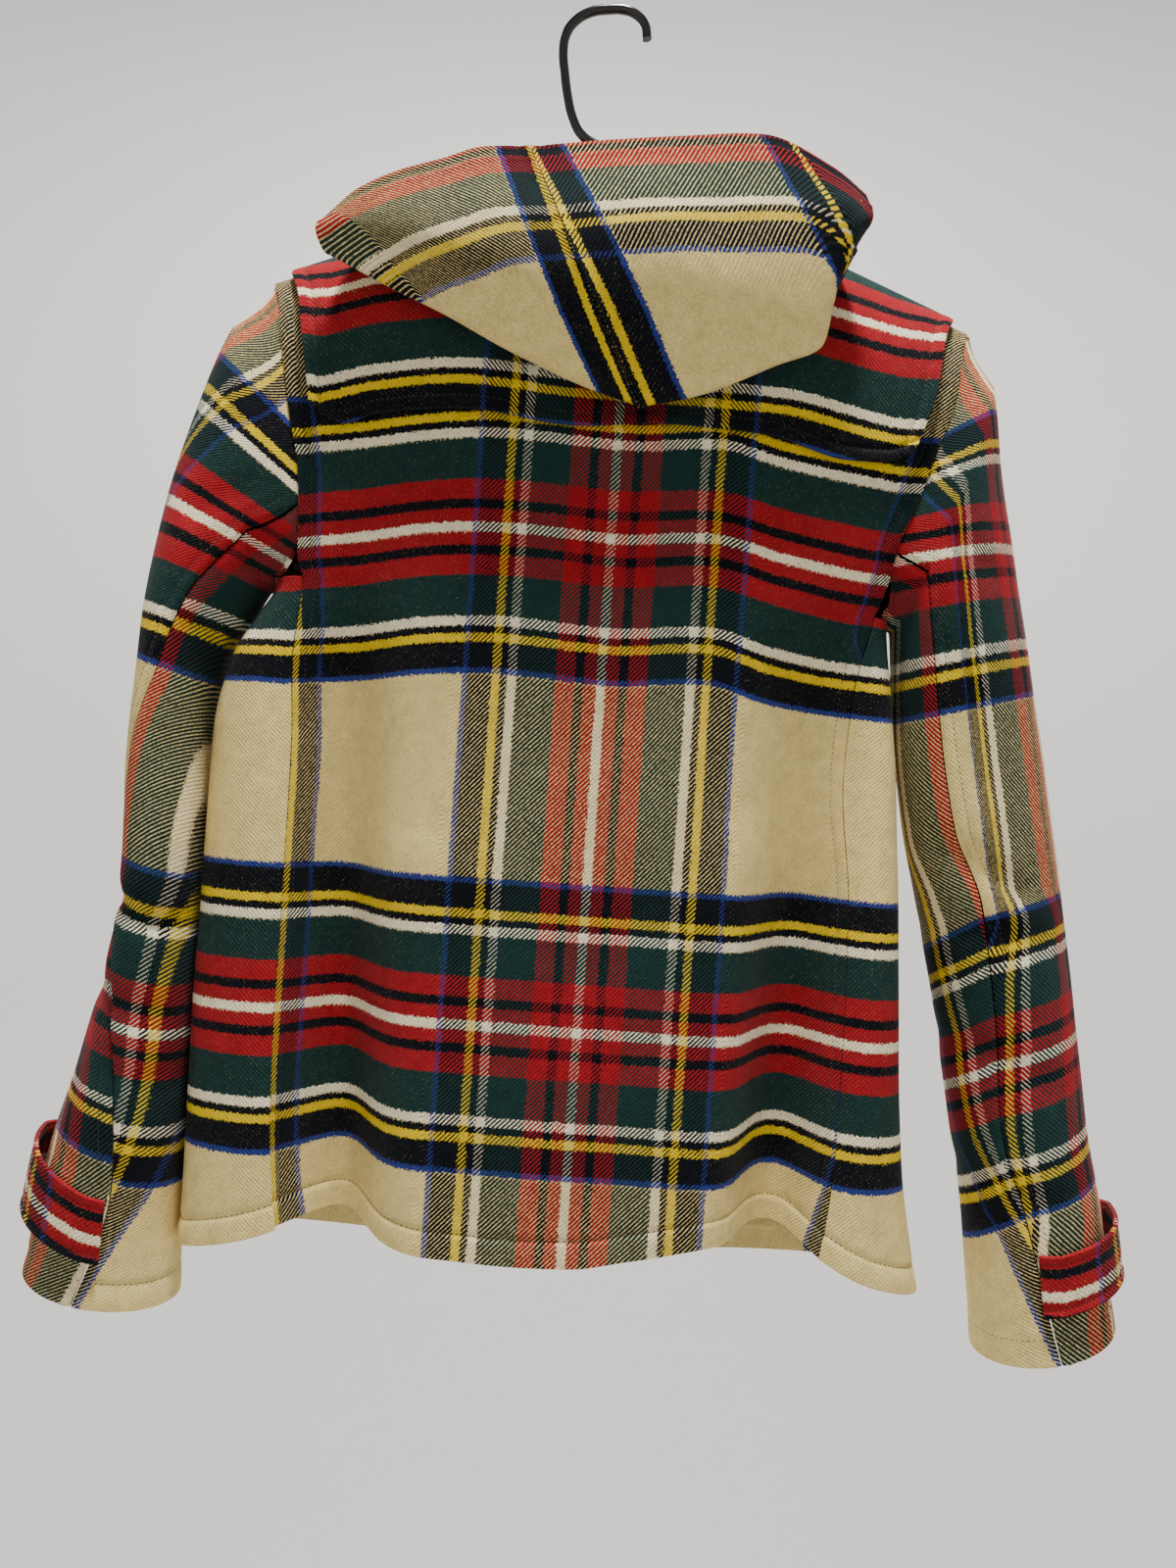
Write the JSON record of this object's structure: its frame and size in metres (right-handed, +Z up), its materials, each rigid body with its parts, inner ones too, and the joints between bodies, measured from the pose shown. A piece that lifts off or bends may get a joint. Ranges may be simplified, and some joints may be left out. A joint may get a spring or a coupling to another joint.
{
  "type": "duffel coat on a hanger",
  "caption": "Short wool duffel coat in tartan with folded hood, shoulder cape, cuff straps and patch pockets, hung on a tubular hanger.",
  "frame": {"origin": "inside top of the hanger's hook, where the hook rests on a rail or peg", "axes": "+Z up along the hanging coat, +Y out of the coat's back, +X towards the wearer's left sleeve"},
  "size_m": [0.695, 0.1503, 0.863],
  "materials": {
    "tartan_wool": "thick brushed wool twill in a cream-ground dress tartan, with red, green, black, white, yellow and blue stripes",
    "button_horn": "polished dark brown horn-like plastic",
    "toggle_wood": "dark varnished wood",
    "cord": "black braided cord",
    "patch_leather": "black grained leather, stitched round",
    "hanger_plastic": "glossy black moulded plastic tube"
  },
  "bodies": {
    "root": {"back": "tartan_wool", "side_back_left": "tartan_wool", "side_back_right": "tartan_wool", "front_left": "tartan_wool", "front_right": "tartan_wool", "yoke_back": "tartan_wool", "yoke_front_left": "tartan_wool", "yoke_front_right": "tartan_wool", "hood_left": "tartan_wool", "hood_right": "tartan_wool", "sleeve_top_left": "tartan_wool", "sleeve_top_right": "tartan_wool", "sleeve_under_left": "tartan_wool", "sleeve_under_right": "tartan_wool", "cuff_strap_left": "tartan_wool", "cuff_strap_right": "tartan_wool", "pocket_left": "tartan_wool", "pocket_right": "tartan_wool", "strap_button_left": "button_horn", "strap_button_right": "button_horn", "toggle_1": "toggle_wood", "toggle_2": "toggle_wood", "toggle_3": "toggle_wood", "loop_cord_1": "cord", "loop_cord_2": "cord", "loop_cord_3": "cord", "toggle_cord_1": "cord", "toggle_cord_2": "cord", "toggle_cord_3": "cord", "loop_patch_1": "patch_leather", "loop_patch_2": "patch_leather", "loop_patch_3": "patch_leather", "toggle_patch_1": "patch_leather", "toggle_patch_2": "patch_leather", "toggle_patch_3": "patch_leather", "hanger": "hanger_plastic"}
  },
  "joints": []
}
